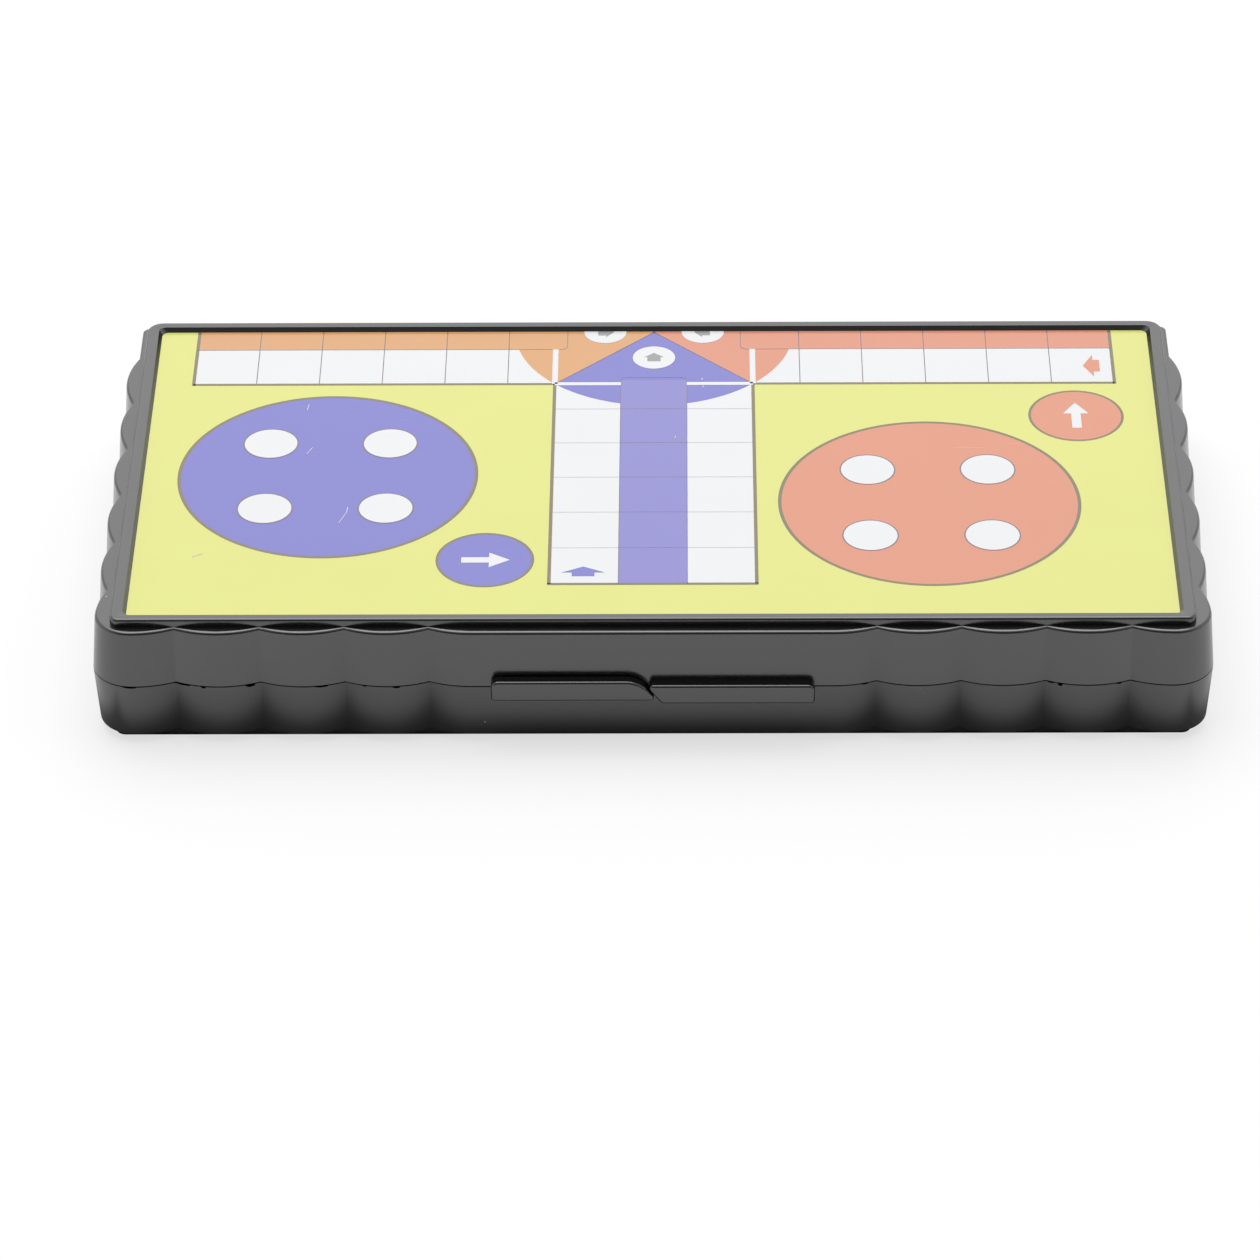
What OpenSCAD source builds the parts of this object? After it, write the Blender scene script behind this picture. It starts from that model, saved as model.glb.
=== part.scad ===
// Folding box of a small ludo set, closed. Two trays meet face to face on a hinge along the back.
// Each tray carries one half of the board on its outer face, and the playing pieces stand inside.
// X runs along the hinge, Y goes from the front to the hinge, and Z goes up from the lower rim.

/* [Case] */
// Width across the scalloped sides
case_w = 160; // [140:1:220]
// Depth from the front wall to the back wall
case_d = 83.6; // [75:0.1:110]
// Height of the closed box, from rim to rim
case_h = 20; // [19:0.5:32]
// Thickness of the floor under each board half
floor_t = 1.3; // [0.8:0.1:2]
// Thickness of the side walls, at the top of a scallop
wall_side_t = 3; // [2.8:0.1:5]
// Thickness of the front wall, at the top of a scallop
wall_front_t = 3.05; // [2.8:0.05:5]
// Thickness of the back wall
wall_back_t = 1.85; // [1.2:0.05:3]
// Corner radius of the hollow
hollow_r = 3; // [1:0.5:5]
// Gap between the two trays when they are shut
seam_gap = 0.1; // [0:0.05:0.3]
// Step that breaks the outer edge of each tray
edge_break = 0.3; // [0.1:0.1:0.6]

/* [Scallops] */
// Height of a scallop above the notch beside it
scallop_h = 1.25; // [0.5:0.05:1.6]
// Width of a scallop on the front
scallop_w = 12; // [8:0.5:16]
// Full scallops on the front, at each end
front_count = 3; // [1:1:4]
// Radius of the front corners
corner_r = 6; // [4:0.5:8]
// From the side to the first notch on the front
corner_run_front = 12.2; // [10:0.1:16]
// From the front to the first notch on a side
corner_run_side = 11.65; // [10:0.05:16]
// Length of the plain stretch of each side beside the hinge
plain_run = 8.6; // [6:0.1:14]
// How far that plain stretch is set in from the scallops
plain_in = 1.45; // [0.5:0.05:1.8]
// Flat left at the bottom of each notch, as a height
notch_fill = 0.05; // [0.02:0.01:0.2]

/* [Rim and board] */
// Height of the rim above the ledge around it
rim_rise = 1.2; // [0.8:0.1:2]
// Ledge outside the rim at the sides
ledge_side = 2.95; // [2.2:0.05:4]
// Ledge outside the rim at the front
ledge_front = 2.3; // [1.8:0.1:4]
// Width of the rim at the sides
rim_side_t = 2.15; // [1.2:0.05:4]
// Width of the rim at the front
rim_front_t = 1.7; // [1.2:0.1:4]
// Outer corner radius of the rim
rim_r = 1.3; // [0.5:0.1:3]
// Thickness of the steel sheet
sheet_t = 0.35; // [0.2:0.05:0.5]
// Thickness of the printed film on the sheet
print_t = 0.15; // [0.1:0.05:0.3]
// Gap between the sheet's edge and the rim
sheet_gap = 0.1; // [0.05:0.05:0.3]

/* [Tongue] */
// Thickness of the tongue on the lower tray
tongue_t = 0.8; // [0.5:0.1:1]
// Height of the tongue above the seam
tongue_h = 1.2; // [0.6:0.1:2]
// Gap around the tongue
tongue_gap = 0.1; // [0.05:0.05:0.2]
// Distance from the back wall to the tongue's ends
tongue_end = 10.6; // [9:0.1:20]

/* [Thumb lips] */
// Half the width of the pair of lips
lip_half_w = 23; // [12:0.5:25]
// How far the lower tray's lip stands out
lip_lower_out = 1.7; // [1:0.1:4]
// How far the upper tray's lip stands out
lip_upper_out = 1.7; // [1:0.1:4]
// Reach of the lower tray's lip below the seam
lip_lower_down = 1.45; // [0.6:0.05:2]
// Reach of the lower tray's lip above the seam
lip_lower_up = 1.8; // [1:0.1:4]
// Reach of the upper tray's lip below the seam
lip_upper_down = 1.95; // [0.6:0.05:3]
// Reach of the upper tray's lip above the seam
lip_upper_up = 1.15; // [0.6:0.05:4]
// Gap between a lip and the other tray's wall
lip_gap = 0.15; // [0.1:0.05:0.3]
// Width of the slanted slit between the lips
slit_w = 0.25; // [0.1:0.05:0.6]
// Sideways run of the slit for each millimetre down
slit_lean = 0.75; // [0.3:0.05:1.2]
// Where the slit crosses the seam, from the middle of the box
slit_shift = -0.35; // [-5:0.05:5]
// Plan radius of the lips' outer corners
lip_r = 0.7; // [0.3:0.1:1.4]

/* [Hinge] */
// Distance from a side to the middle of its hinge
hinge_in = 28; // [20:1:36]
// Outer radius of a knuckle
knuckle_r = 1.9; // [1.5:0.1:2.6]
// Length of a knuckle
knuckle_w = 6; // [4:0.5:10]
// Side gap between knuckles
knuckle_gap = 0.3; // [0.2:0.05:0.5]
// Gap between a knuckle and the other tray's wall
knuckle_clear = 0.3; // [0.2:0.05:0.5]
// Radius of a hinge pin
pin_r = 0.75; // [0.5:0.05:1]
// Running clearance of the pin in the upper knuckle
pin_clear = 0.05; // [0.02:0.01:0.1]
// How far a pin stops short of the outer knuckles' ends
pin_in = 0.3; // [0:0.1:1]
// Gap between the back walls when the box lies open flat
flat_gap = 0.3; // [0.2:0.05:0.6]

/* [Tokens] */
// Height of a token
token_h = 10; // [8:0.5:11]
// Radius of a token's base
token_r = 3.6; // [3:0.1:4]
// Height of the base
token_base_h = 2; // [1.6:0.1:3]
// Radius of the round head
head_r = 2.2; // [1.6:0.1:2.6]
// Radius of the neck
neck_r = 1.3; // [1:0.1:1.6]
// Distance between neighbouring tokens
token_pitch = 10.5; // [8.5:0.5:13]
// Distance from the hollow's walls to the nearest token
token_margin = 8; // [2:0.5:12]
// Radius of a token's magnet
magnet_r = 2.5; // [1.5:0.1:2.6]
// Thickness of a magnet
magnet_t = 1; // [0.6:0.1:1.2]
// Gap around a magnet, and its step up from the base
magnet_gap = 0.1; // [0.05:0.05:0.2]

/* [Die] */
// Edge of the die
die_w = 8; // [6:0.5:9]
// Radius of the ball that rounds the die's corners
die_round = 5.8; // [4.6:0.1:6.8]
// Turn of the die as it lies
die_turn = 20; // [0:5:90]
// Radius of the ball that cuts a pip
pip_r = 0.75; // [0.5:0.05:0.9]
// Depth of a pip
pip_deep = 0.3; // [0.15:0.05:0.4]
// Distance between neighbouring pips
pip_pitch = 2.1; // [1.6:0.1:2.4]
// Gap between the die and the nearest token
die_gap = 8; // [2:0.5:20]

/* [Hidden] */
$fn = 64;
cut = 1;
half_w = case_w / 2;
seam_z = case_h / 2;
hinge_back = flat_gap / 2 + knuckle_r;
whole_d = lip_lower_out + case_d + hinge_back;
back_y = whole_d / 2 - hinge_back;
front_y = back_y - case_d;
hinge_y = back_y + flat_gap / 2;
hinge_x = half_w - hinge_in;
plain_y = back_y - plain_run;
side_count = round((case_d - plain_run - corner_run_side) / scallop_w);
side_w = (case_d - plain_run - corner_run_side) / side_count;
side_y = front_y + corner_run_side;
front_x = half_w - corner_run_front - front_count * scallop_w;
hollow_x = half_w - wall_side_t;
hollow_front = front_y + wall_front_t;
hollow_back = back_y - wall_back_t;
floor_z = rim_rise + floor_t;
film_x = half_w - ledge_side - rim_side_t - sheet_gap;
film_front = front_y + ledge_front + rim_front_t + sheet_gap;
film_back = back_y - wall_back_t - sheet_gap;
hinge_len = 3 * knuckle_w + 2 * knuckle_gap;
pip_spots = [[0, 0], [1, 1], [-1, -1], [1, -1], [-1, 1], [1, 0], [-1, 0]];
pip_faces = [[0], [1, 2], [0, 1, 2], [1, 2, 3, 4], [0, 1, 2, 3, 4], [1, 2, 3, 4, 5, 6]];
face_turns = [[0, 0, 0], [0, 90, 0], [90, 0, 0], [-90, 0, 0], [0, -90, 0], [180, 0, 0]];
token_colours = ["blue", "red", "orange", "green"];
token_paints = ["#4a58c8", "#c8402c", "#e08a30", "#3c9850"];
case_paint = "#141416";

function scallop_r(w) = (w * w / 4 + scallop_h * scallop_h) / (2 * scallop_h);
function notch_in(w, inset) = let (r = scallop_r(w))
    r - sqrt((r - inset) * (r - inset) - w * w / 4) - notch_fill;
function slit_x(z) = slit_shift + slit_lean * (seam_z - z);
function token_name(c, n) = str("token_", token_colours[c], "_", n + 1);
function magnet_name(c, n) = str("magnet_", token_colours[c], "_", n + 1);
function token_x(c) = -hollow_x + token_margin + token_r + c * token_pitch;
function token_y(n) = hollow_front + token_margin + token_r + n * token_pitch;

// Flat rectangle with round corners
module plate(x0, x1, y0, y1, r) {
    translate([x0, y0 + r]) square([x1 - x0, y1 - y0 - 2 * r]);
    translate([x0 + r, y0]) square([x1 - x0 - 2 * r, y1 - y0]);
    for (x = [x0 + r, x1 - r], y = [y0 + r, y1 - r]) translate([x, y]) circle(r);
}

// Part of the circle through a scallop, between two notches on the front
module front_scallop(x, x0, x1, inset) {
    r = scallop_r(scallop_w);
    intersection() {
        translate([x, front_y + r]) circle(r - inset, $fn = 200);
        translate([x0, front_y]) square([x1 - x0, corner_r]);
    }
}

// The same on a side, with s as 1 for the right side and -1 for the left
module side_scallop(s, y, y0, y1, inset) {
    r = scallop_r(side_w);
    intersection() {
        translate([s * (half_w - r), y]) circle(r - inset, $fn = 200);
        translate([s > 0 ? half_w - corner_r : -half_w, y0]) square([corner_r, y1 - y0]);
    }
}

// Plan of a tray, drawn in by inset on the front and the sides
module outline(inset = 0) {
    side_in = notch_in(side_w, inset);
    front_in = notch_in(scallop_w, inset);
    core_y = front_y + front_in;
    core_x = half_w - side_in;
    translate([-core_x, core_y + corner_r]) square([2 * core_x, plain_y - core_y - corner_r]);
    translate([corner_r - core_x, core_y]) square([2 * (core_x - corner_r), 2 * corner_r]);
    translate([plain_in + inset - half_w, plain_y - cut])
        square([2 * (half_w - plain_in - inset), plain_run + cut]);
    middle = front_x - scallop_w / 2;
    translate([-middle, front_y + inset]) square([2 * middle, corner_r]);
    for (s = [-1, 1]) {
        corner_x = s * (half_w - corner_r);
        notch_x = s * (half_w - corner_run_front);
        translate([s * (core_x - corner_r), core_y + corner_r]) circle(corner_r);
        translate([corner_x, front_y + corner_r]) circle(corner_r - inset, $fn = 100);
        front_scallop(corner_x, min(corner_x, notch_x), max(corner_x, notch_x), inset);
        side_scallop(s, front_y + corner_r, front_y + corner_r, side_y, inset);
        front_scallop(s * middle, min(s * middle, s * front_x), max(s * middle, s * front_x), inset);
        for (k = [0:front_count - 1]) {
            x = s * (front_x + (k + 0.5) * scallop_w);
            front_scallop(x, x - scallop_w / 2, x + scallop_w / 2, inset);
        }
        for (k = [0:side_count - 1]) {
            y = side_y + k * side_w;
            side_scallop(s, y + side_w / 2, y, y + side_w, inset);
        }
    }
}

// Plan of the hollow, widened by grow
module hollow(grow = 0) {
    plate(-hollow_x - grow, hollow_x + grow, hollow_front - grow, hollow_back, hollow_r + grow);
}

// Plan of what keeps to the front and sides, stopping short of the hinge
module ahead_of_hinge(short) {
    translate([-half_w, front_y]) square([case_w, case_d - short]);
}

// Tray with its rim down, its floor and its walls up to the seam
module tray() {
    wall_top = seam_z - seam_gap / 2;
    difference() {
        union() {
            translate([0, 0, rim_rise + edge_break])
                linear_extrude(wall_top - rim_rise - edge_break) outline();
            translate([0, 0, rim_rise]) linear_extrude(edge_break) outline(edge_break);
            linear_extrude(rim_rise) plate(ledge_side - half_w, half_w - ledge_side,
                front_y + ledge_front, back_y, rim_r);
        }
        translate([0, 0, -cut]) linear_extrude(rim_rise + cut)
            plate(-film_x - sheet_gap, film_x + sheet_gap, film_front - sheet_gap,
                film_back + sheet_gap, rim_r - edge_break);
        translate([0, 0, floor_z]) linear_extrude(seam_z) hollow();
    }
}

// The same tray turned over, as the lid
module upside_down() {
    translate([0, 0, case_h]) mirror([0, 0, 1]) children();
}

// Rod of radius r and length w on the hinge line, centred on x
module on_hinge(x, r, w) {
    translate([x - w / 2, hinge_y, seam_z]) rotate([0, 90, 0]) cylinder(r = r, h = w);
}

// One thumb lip, as a block behind a slanted front outline, cut clear of the other tray
module lip(points, out, other_z) {
    difference() {
        intersection() {
            translate([0, front_y + cut, 0]) rotate([90, 0, 0]) linear_extrude(out + cut) polygon(points);
            linear_extrude(case_h)
                plate(-lip_half_w, lip_half_w, front_y - out, front_y + 2 * lip_r + cut, lip_r);
        }
        translate([-case_w, front_y - lip_gap, other_z]) cube([2 * case_w, case_d, case_h]);
    }
}

module lower_lip() {
    z0 = seam_z - lip_lower_down;
    z1 = seam_z + lip_lower_up;
    side = slit_w / 2;
    lip([[-lip_half_w, z0], [slit_x(z0) - side, z0], [slit_x(z1) - side, z1], [-lip_half_w, z1]],
        lip_lower_out, seam_z - seam_gap / 2);
}

module upper_lip() {
    z0 = seam_z - lip_upper_down;
    z1 = seam_z + lip_upper_up;
    side = slit_w / 2;
    lip([[lip_half_w, z0], [slit_x(z0) + side, z0], [slit_x(z1) + side, z1], [lip_half_w, z1]],
        lip_upper_out, seam_z + seam_gap / 2 - case_h);
}

module lower_case() {
    color(case_paint) difference() {
        union() {
            difference() {
                tray();
                for (s = [-1, 1])
                    on_hinge(s * hinge_x, knuckle_r + knuckle_clear, knuckle_w + 2 * knuckle_gap);
            }
            for (s = [-1, 1], k = [-1, 1])
                on_hinge(s * hinge_x + k * (knuckle_w + knuckle_gap), knuckle_r, knuckle_w);
            translate([0, 0, floor_z]) linear_extrude(seam_z + tongue_h - floor_z) difference() {
                intersection() {
                    hollow(tongue_t);
                    ahead_of_hinge(tongue_end);
                }
                hollow();
            }
            lower_lip();
        }
        for (s = [-1, 1]) on_hinge(s * hinge_x, pin_r, hinge_len + cut);
    }
}

module upper_case() {
    color(case_paint) difference() {
        union() {
            difference() {
                upside_down() tray();
                for (s = [-1, 1], k = [-1, 1])
                    on_hinge(s * hinge_x + k * (knuckle_w + knuckle_gap),
                        knuckle_r + knuckle_clear, knuckle_w + 2 * knuckle_gap);
                translate([0, 0, seam_z - cut]) linear_extrude(tongue_h + tongue_gap + cut)
                    intersection() {
                        hollow(tongue_t + tongue_gap);
                        ahead_of_hinge(tongue_end - tongue_gap);
                    }
            }
            for (s = [-1, 1]) on_hinge(s * hinge_x, knuckle_r, knuckle_w);
            upper_lip();
        }
        for (s = [-1, 1]) on_hinge(s * hinge_x, pin_r + pin_clear, knuckle_w + 2 * knuckle_gap);
    }
}

// Steel sheet under the lower tray
module steel_sheet() {
    color("silver") translate([0, 0, rim_rise - sheet_t]) linear_extrude(sheet_t) film_plan();
}

// Printed film over the sheet
module printed_film() {
    color("#eef0a0") translate([0, 0, rim_rise - sheet_t - print_t]) linear_extrude(print_t) film_plan();
}

module film_plan() {
    plate(-film_x, film_x, film_front, film_back, rim_r - edge_break - sheet_gap);
}

module hinge_pin(s) {
    color("gainsboro") on_hinge(s * hinge_x, pin_r, hinge_len - 2 * pin_in);
}

module token(c, n) {
    neck_z = token_h - 2 * head_r;
    color(token_paints[c]) translate([token_x(c), token_y(n), floor_z]) difference() {
        union() {
            cylinder(r = token_r, h = token_base_h);
            translate([0, 0, token_base_h])
                cylinder(r1 = token_r - edge_break, r2 = neck_r, h = neck_z + head_r / 2 - token_base_h);
            translate([0, 0, token_h - head_r]) sphere(head_r);
        }
        translate([0, 0, -cut]) cylinder(r = magnet_r + magnet_gap, h = magnet_t + magnet_gap + cut);
    }
}

module magnet(c, n) {
    color("silver") translate([token_x(c), token_y(n), floor_z + magnet_gap])
        cylinder(r = magnet_r, h = magnet_t);
}

module die() {
    last_token = token_x(3) + token_r;
    half = die_w / 2;
    color("ivory") translate([last_token + die_gap + half, token_y(1), floor_z + half])
        rotate([0, 0, die_turn]) difference() {
            intersection() {
                cube(die_w, center = true);
                sphere(die_round);
            }
            for (f = [0:5], p = pip_faces[f])
                rotate(face_turns[f])
                    translate([pip_spots[p][0] * pip_pitch, pip_spots[p][1] * pip_pitch,
                        half - pip_deep + pip_r]) sphere(pip_r);
        }
}

lower_case();
upper_case();
steel_sheet();  // lower_sheet
upside_down() steel_sheet();  // upper_sheet
printed_film();  // lower_print
upside_down() printed_film();  // upper_print
hinge_pin(-1);  // hinge_pin_left
hinge_pin(1);  // hinge_pin_right
die();
for (c = [0:3], n = [0:3]) token(c, n);
for (c = [0:3], n = [0:3]) magnet(c, n);
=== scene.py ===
import math

import bmesh
import bpy
from mathutils import Matrix, Vector


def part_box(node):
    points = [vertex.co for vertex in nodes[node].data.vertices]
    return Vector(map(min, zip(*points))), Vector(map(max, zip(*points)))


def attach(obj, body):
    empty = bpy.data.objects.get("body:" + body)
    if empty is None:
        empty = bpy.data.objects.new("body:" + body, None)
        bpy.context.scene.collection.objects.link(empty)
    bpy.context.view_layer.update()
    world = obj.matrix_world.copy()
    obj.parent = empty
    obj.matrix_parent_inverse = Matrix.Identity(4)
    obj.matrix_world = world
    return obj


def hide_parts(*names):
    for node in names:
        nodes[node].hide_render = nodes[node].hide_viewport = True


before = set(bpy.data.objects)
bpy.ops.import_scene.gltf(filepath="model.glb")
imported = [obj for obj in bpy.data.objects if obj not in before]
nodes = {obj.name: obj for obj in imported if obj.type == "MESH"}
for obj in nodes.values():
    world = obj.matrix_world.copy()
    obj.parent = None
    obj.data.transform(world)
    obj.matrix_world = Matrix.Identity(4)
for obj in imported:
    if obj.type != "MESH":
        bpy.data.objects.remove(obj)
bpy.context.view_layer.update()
scene = bpy.context.scene
mm = 0.001

# The case as the CAD has it, in millimetres
case = {
    "width": 160.0,
    "depth": 83.6,
    "height": 20.0,
    "floorThick": 1.3,
    "wallSide": 3.0,
    "wallFront": 3.05,
    "wallBack": 1.85,
    "hollowRound": 3.0,
    "seamGap": 0.1,
    "rimRise": 1.2,
    "ledgeSide": 2.95,
    "ledgeFront": 2.3,
    "rimSide": 2.15,
    "rimFront": 1.7,
    "rimRound": 1.3,
    "filmGap": 0.1,
    "filmThick": 0.5,
    "lipOut": 1.7,
    "knuckleRadius": 1.9,
    "flatGap": 0.3,
    "hingeInset": 28.0,
}
halfWidth = case["width"] / 2
seamZ = case["height"] / 2
backY = (case["lipOut"] + case["depth"] + case["flatGap"] / 2 + case["knuckleRadius"]) / 2 - (
    case["flatGap"] / 2 + case["knuckleRadius"])
frontY = backY - case["depth"]
hingeY = backY + case["flatGap"] / 2
floorZ = case["rimRise"] + case["floorThick"]
hollowX = halfWidth - case["wallSide"]
hollowFront = frontY + case["wallFront"]
hollowBack = backY - case["wallBack"]
rimX = halfWidth - case["ledgeSide"]
rimY = frontY + case["ledgeFront"]
# Where the two board halves meet, in the open board's own layout
boardY = backY - 2.15
print("frame loaded:", len(nodes), "nodes")


def mathNode(tree, operation, *values):
    node = tree.nodes.new("ShaderNodeMath")
    node.operation = operation
    for socket, value in zip(node.inputs, values):
        if isinstance(value, (int, float)):
            socket.default_value = value
        else:
            tree.links.new(value, socket)
    return node.outputs[0]


def steps(tree, value, low, high, toLow=0.0, toHigh=1.0):
    node = tree.nodes.new("ShaderNodeMapRange")
    node.interpolation_type = "SMOOTHSTEP"
    tree.links.new(value, node.inputs["Value"])
    for label, limit in (("From Min", low), ("From Max", high), ("To Min", toLow), ("To Max", toHigh)):
        node.inputs[label].default_value = limit
    return node.outputs["Result"]


def objectAxes(tree, output):
    split = tree.nodes.new("ShaderNodeSeparateXYZ")
    tree.links.new(tree.nodes.new("ShaderNodeTexCoord").outputs[output], split.inputs[0])
    return split.outputs


# Camera, fitted to the printed board in the photograph
view = {
    "azimuth": 0.590,
    "elevation": 34.028,
    "roll": -0.4525,
    "distance": 877.3,
    "aimX": -3.19,
    "aimY": -80.92,
    "lens": 177.35,
}


def makeCamera():
    data = bpy.data.cameras.new("camera")
    data.sensor_width = 36
    data.lens = view["lens"]
    data.clip_start = 0.05
    data.clip_end = 50
    camera = bpy.data.objects.new("camera", data)
    scene.collection.objects.link(camera)
    a, e, roll = (math.radians(view[k]) for k in ("azimuth", "elevation", "roll"))
    back = Vector((math.sin(a) * math.cos(e), -math.cos(a) * math.cos(e), math.sin(e)))
    across = Vector((0, 0, 1)).cross(back).normalized()
    up = back.cross(across)
    turnedX = across * math.cos(roll) + up * math.sin(roll)
    turnedY = up * math.cos(roll) - across * math.sin(roll)
    printZ = case["height"] - case["rimRise"] + case["filmThick"]
    aim = Vector((view["aimX"], boardY + view["aimY"], printZ)) * mm
    pose = Matrix((turnedX, turnedY, back)).transposed().to_4x4()
    pose.translation = aim + back * view["distance"] * mm
    camera.matrix_world = pose
    scene.camera = camera


studio = {
    "ambient": 0.8,
    "frontDim": 0.1,
    "dimRange": (-0.95, 0.15),
    "floorHalf": 3.0,
    "floorGrey": 0.93,
    "floorLift": 0.68,
    # Grey of the painted contact shadow on the floor, seen only in reflections
    "paintedShadowGrey": 0.3,
    "contactStart": 0.001,
    "contactReach": 0.007,
    "backRadiance": 0.68,
    "backPlace": (0, 1.0, 0.72),
    "backSize": (1.3, 0.8),
    "topPower": 11.0,
    "topPlace": (-0.1, 0.3, 1.3),
    "topSize": (1.2, 1.2),
}


# One for the rays that show the background as it is
def backgroundRays(tree):
    path = tree.nodes.new("ShaderNodeLightPath")
    rays = path.outputs["Is Camera Ray"]
    for kind in ("Is Glossy Ray", "Is Transmission Ray"):
        rays = mathNode(tree, "MAXIMUM", rays, path.outputs[kind])
    return rays, path.outputs["Is Camera Ray"]


# A tent that is white behind and above, and dim on the camera's side
def makeWorld():
    world = bpy.data.worlds.new("studio")
    scene.world = world
    world.use_nodes = True
    tree = world.node_tree
    tree.nodes.clear()
    tent = steps(tree, objectAxes(tree, "Generated")["Y"], *studio["dimRange"], studio["frontDim"])
    rays, cameraRays = backgroundRays(tree)
    level = mathNode(tree, "MULTIPLY_ADD", rays, 1 - studio["ambient"], studio["ambient"])
    dimmed = mathNode(tree, "MULTIPLY", level, tent)
    background = tree.nodes.new("ShaderNodeBackground")
    background.inputs["Color"].default_value = (1, 1, 1, 1)
    tree.links.new(mathNode(tree, "MAXIMUM", dimmed, cameraRays), background.inputs["Strength"])
    out = tree.nodes.new("ShaderNodeOutputWorld")
    tree.links.new(background.outputs[0], out.inputs[0])


# A lamp that looks at the box
def areaLamp(name, place, size, power):
    data = bpy.data.lights.new(name, "AREA")
    data.shape = "RECTANGLE"
    data.size, data.size_y = size
    data.energy = power
    lamp = bpy.data.objects.new(name, data)
    scene.collection.objects.link(lamp)
    lamp.location = place
    lamp.rotation_euler = Vector(place).to_track_quat("Z", "Y").to_euler()
    lamp.visible_camera = False


# The floor's grey in reflections, with a painted contact shadow: darker close to the case
def paintedContactShadow(tree):
    axes = objectAxes(tree, "Object")
    apart = [mathNode(tree, "SUBTRACT", mathNode(tree, "ABSOLUTE", axes[axis]), half * mm)
             for axis, half in (("X", halfWidth), ("Y", case["depth"] / 2))]
    return steps(tree, mathNode(tree, "MAXIMUM", *apart), studio["contactStart"],
                 studio["contactReach"], studio["paintedShadowGrey"], studio["floorGrey"])


def makeFloor():
    mesh = bpy.data.meshes.new("floor")
    h = studio["floorHalf"]
    mesh.from_pydata([(-h, -h, 0), (h, -h, 0), (h, h, 0), (-h, h, 0)], [], [(0, 1, 2, 3)])
    floor = bpy.data.objects.new("floor", mesh)
    scene.collection.objects.link(floor)
    material = bpy.data.materials.new("paleFloor")
    material.use_nodes = True
    tree = material.node_tree
    shader = tree.nodes["Principled BSDF"]
    camera = tree.nodes.new("ShaderNodeLightPath").outputs["Is Camera Ray"]
    shown = mathNode(tree, "MULTIPLY", camera, studio["floorGrey"])
    # Camera rays see the plain floor grey; other rays see the floor with the painted contact shadow
    tree.links.new(mathNode(tree, "MAXIMUM", shown, paintedContactShadow(tree)), shader.inputs["Base Color"])
    shader.inputs["Roughness"].default_value = 0.9
    shader.inputs["Specular IOR Level"].default_value = 0.0
    glow = tree.nodes.new("ShaderNodeEmission")
    mix = tree.nodes.new("ShaderNodeMixShader")
    lift = mathNode(tree, "MULTIPLY", camera, studio["floorLift"])
    tree.links.new(lift, mix.inputs[0])
    tree.links.new(shader.outputs[0], mix.inputs[1])
    tree.links.new(glow.outputs[0], mix.inputs[2])
    tree.links.new(mix.outputs[0], tree.nodes["Material Output"].inputs["Surface"])
    mesh.materials.append(material)


def makeStudio():
    makeWorld()
    scene.view_settings.view_transform = "Standard"
    width, height = studio["backSize"]
    power = studio["backRadiance"] * math.pi * width * height
    areaLamp("backSoftbox", studio["backPlace"], studio["backSize"], power)
    areaLamp("topSoftbox", studio["topPlace"], studio["topSize"], studio["topPower"])
    makeFloor()


makeCamera()
makeStudio()
print("camera and studio made")


# Shader node groups shared by the finishes
def groupTree(name, inputs, outputs):
    tree = bpy.data.node_groups.new(name, "ShaderNodeTree")
    for label, kind, value in inputs:
        socket = tree.interface.new_socket(name=label, in_out="INPUT", socket_type=kind)
        if value is not None:
            socket.default_value = value
    for label, kind in outputs:
        tree.interface.new_socket(name=label, in_out="OUTPUT", socket_type=kind)
    return tree, tree.nodes.new("NodeGroupInput"), tree.nodes.new("NodeGroupOutput")


def stretched(tree, vector, turn, scale):
    node = tree.nodes.new("ShaderNodeMapping")
    tree.links.new(vector, node.inputs["Vector"])
    node.inputs["Rotation"].default_value = turn
    node.inputs["Scale"].default_value = scale
    return node.outputs["Vector"]


def noise(tree, vector, scale, detail=2.0, distortion=0.0):
    node = tree.nodes.new("ShaderNodeTexNoise")
    tree.links.new(vector, node.inputs["Vector"])
    node.inputs["Scale"].default_value = scale
    node.inputs["Detail"].default_value = detail
    node.inputs["Distortion"].default_value = distortion
    return node.outputs["Fac"]


# Hairline scratches in two directions, only where a broad noise lets them show. Each has
# its turn and how often it breaks off along its length, for each metre.
hair = {"turns": ((0.5, 130), (-1.2, 90)), "across": 3600, "range": (0.77, 0.83), "patches": 70,
        "patchRange": (0.5, 0.62)}


def scratchGroup():
    tree, source, sink = groupTree(
        "hairScratches",
        [("Vector", "NodeSocketVector", None), ("Amount", "NodeSocketFloat", 1.0)],
        [("Mask", "NodeSocketFloat")])
    lines = []
    across = hair["across"]
    for turn, length in hair["turns"]:
        vector = stretched(tree, source.outputs["Vector"], (0, 0, turn), (length, across, across))
        lines.append(steps(tree, noise(tree, vector, 1.0, 1.0, 0.4), *hair["range"]))
    either = mathNode(tree, "MAXIMUM", *lines)
    patch = steps(tree, noise(tree, source.outputs["Vector"], hair["patches"]), *hair["patchRange"])
    shown = mathNode(tree, "MULTIPLY", either, patch)
    tree.links.new(mathNode(tree, "MULTIPLY", shown, source.outputs["Amount"]), sink.inputs["Mask"])
    return tree


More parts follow.
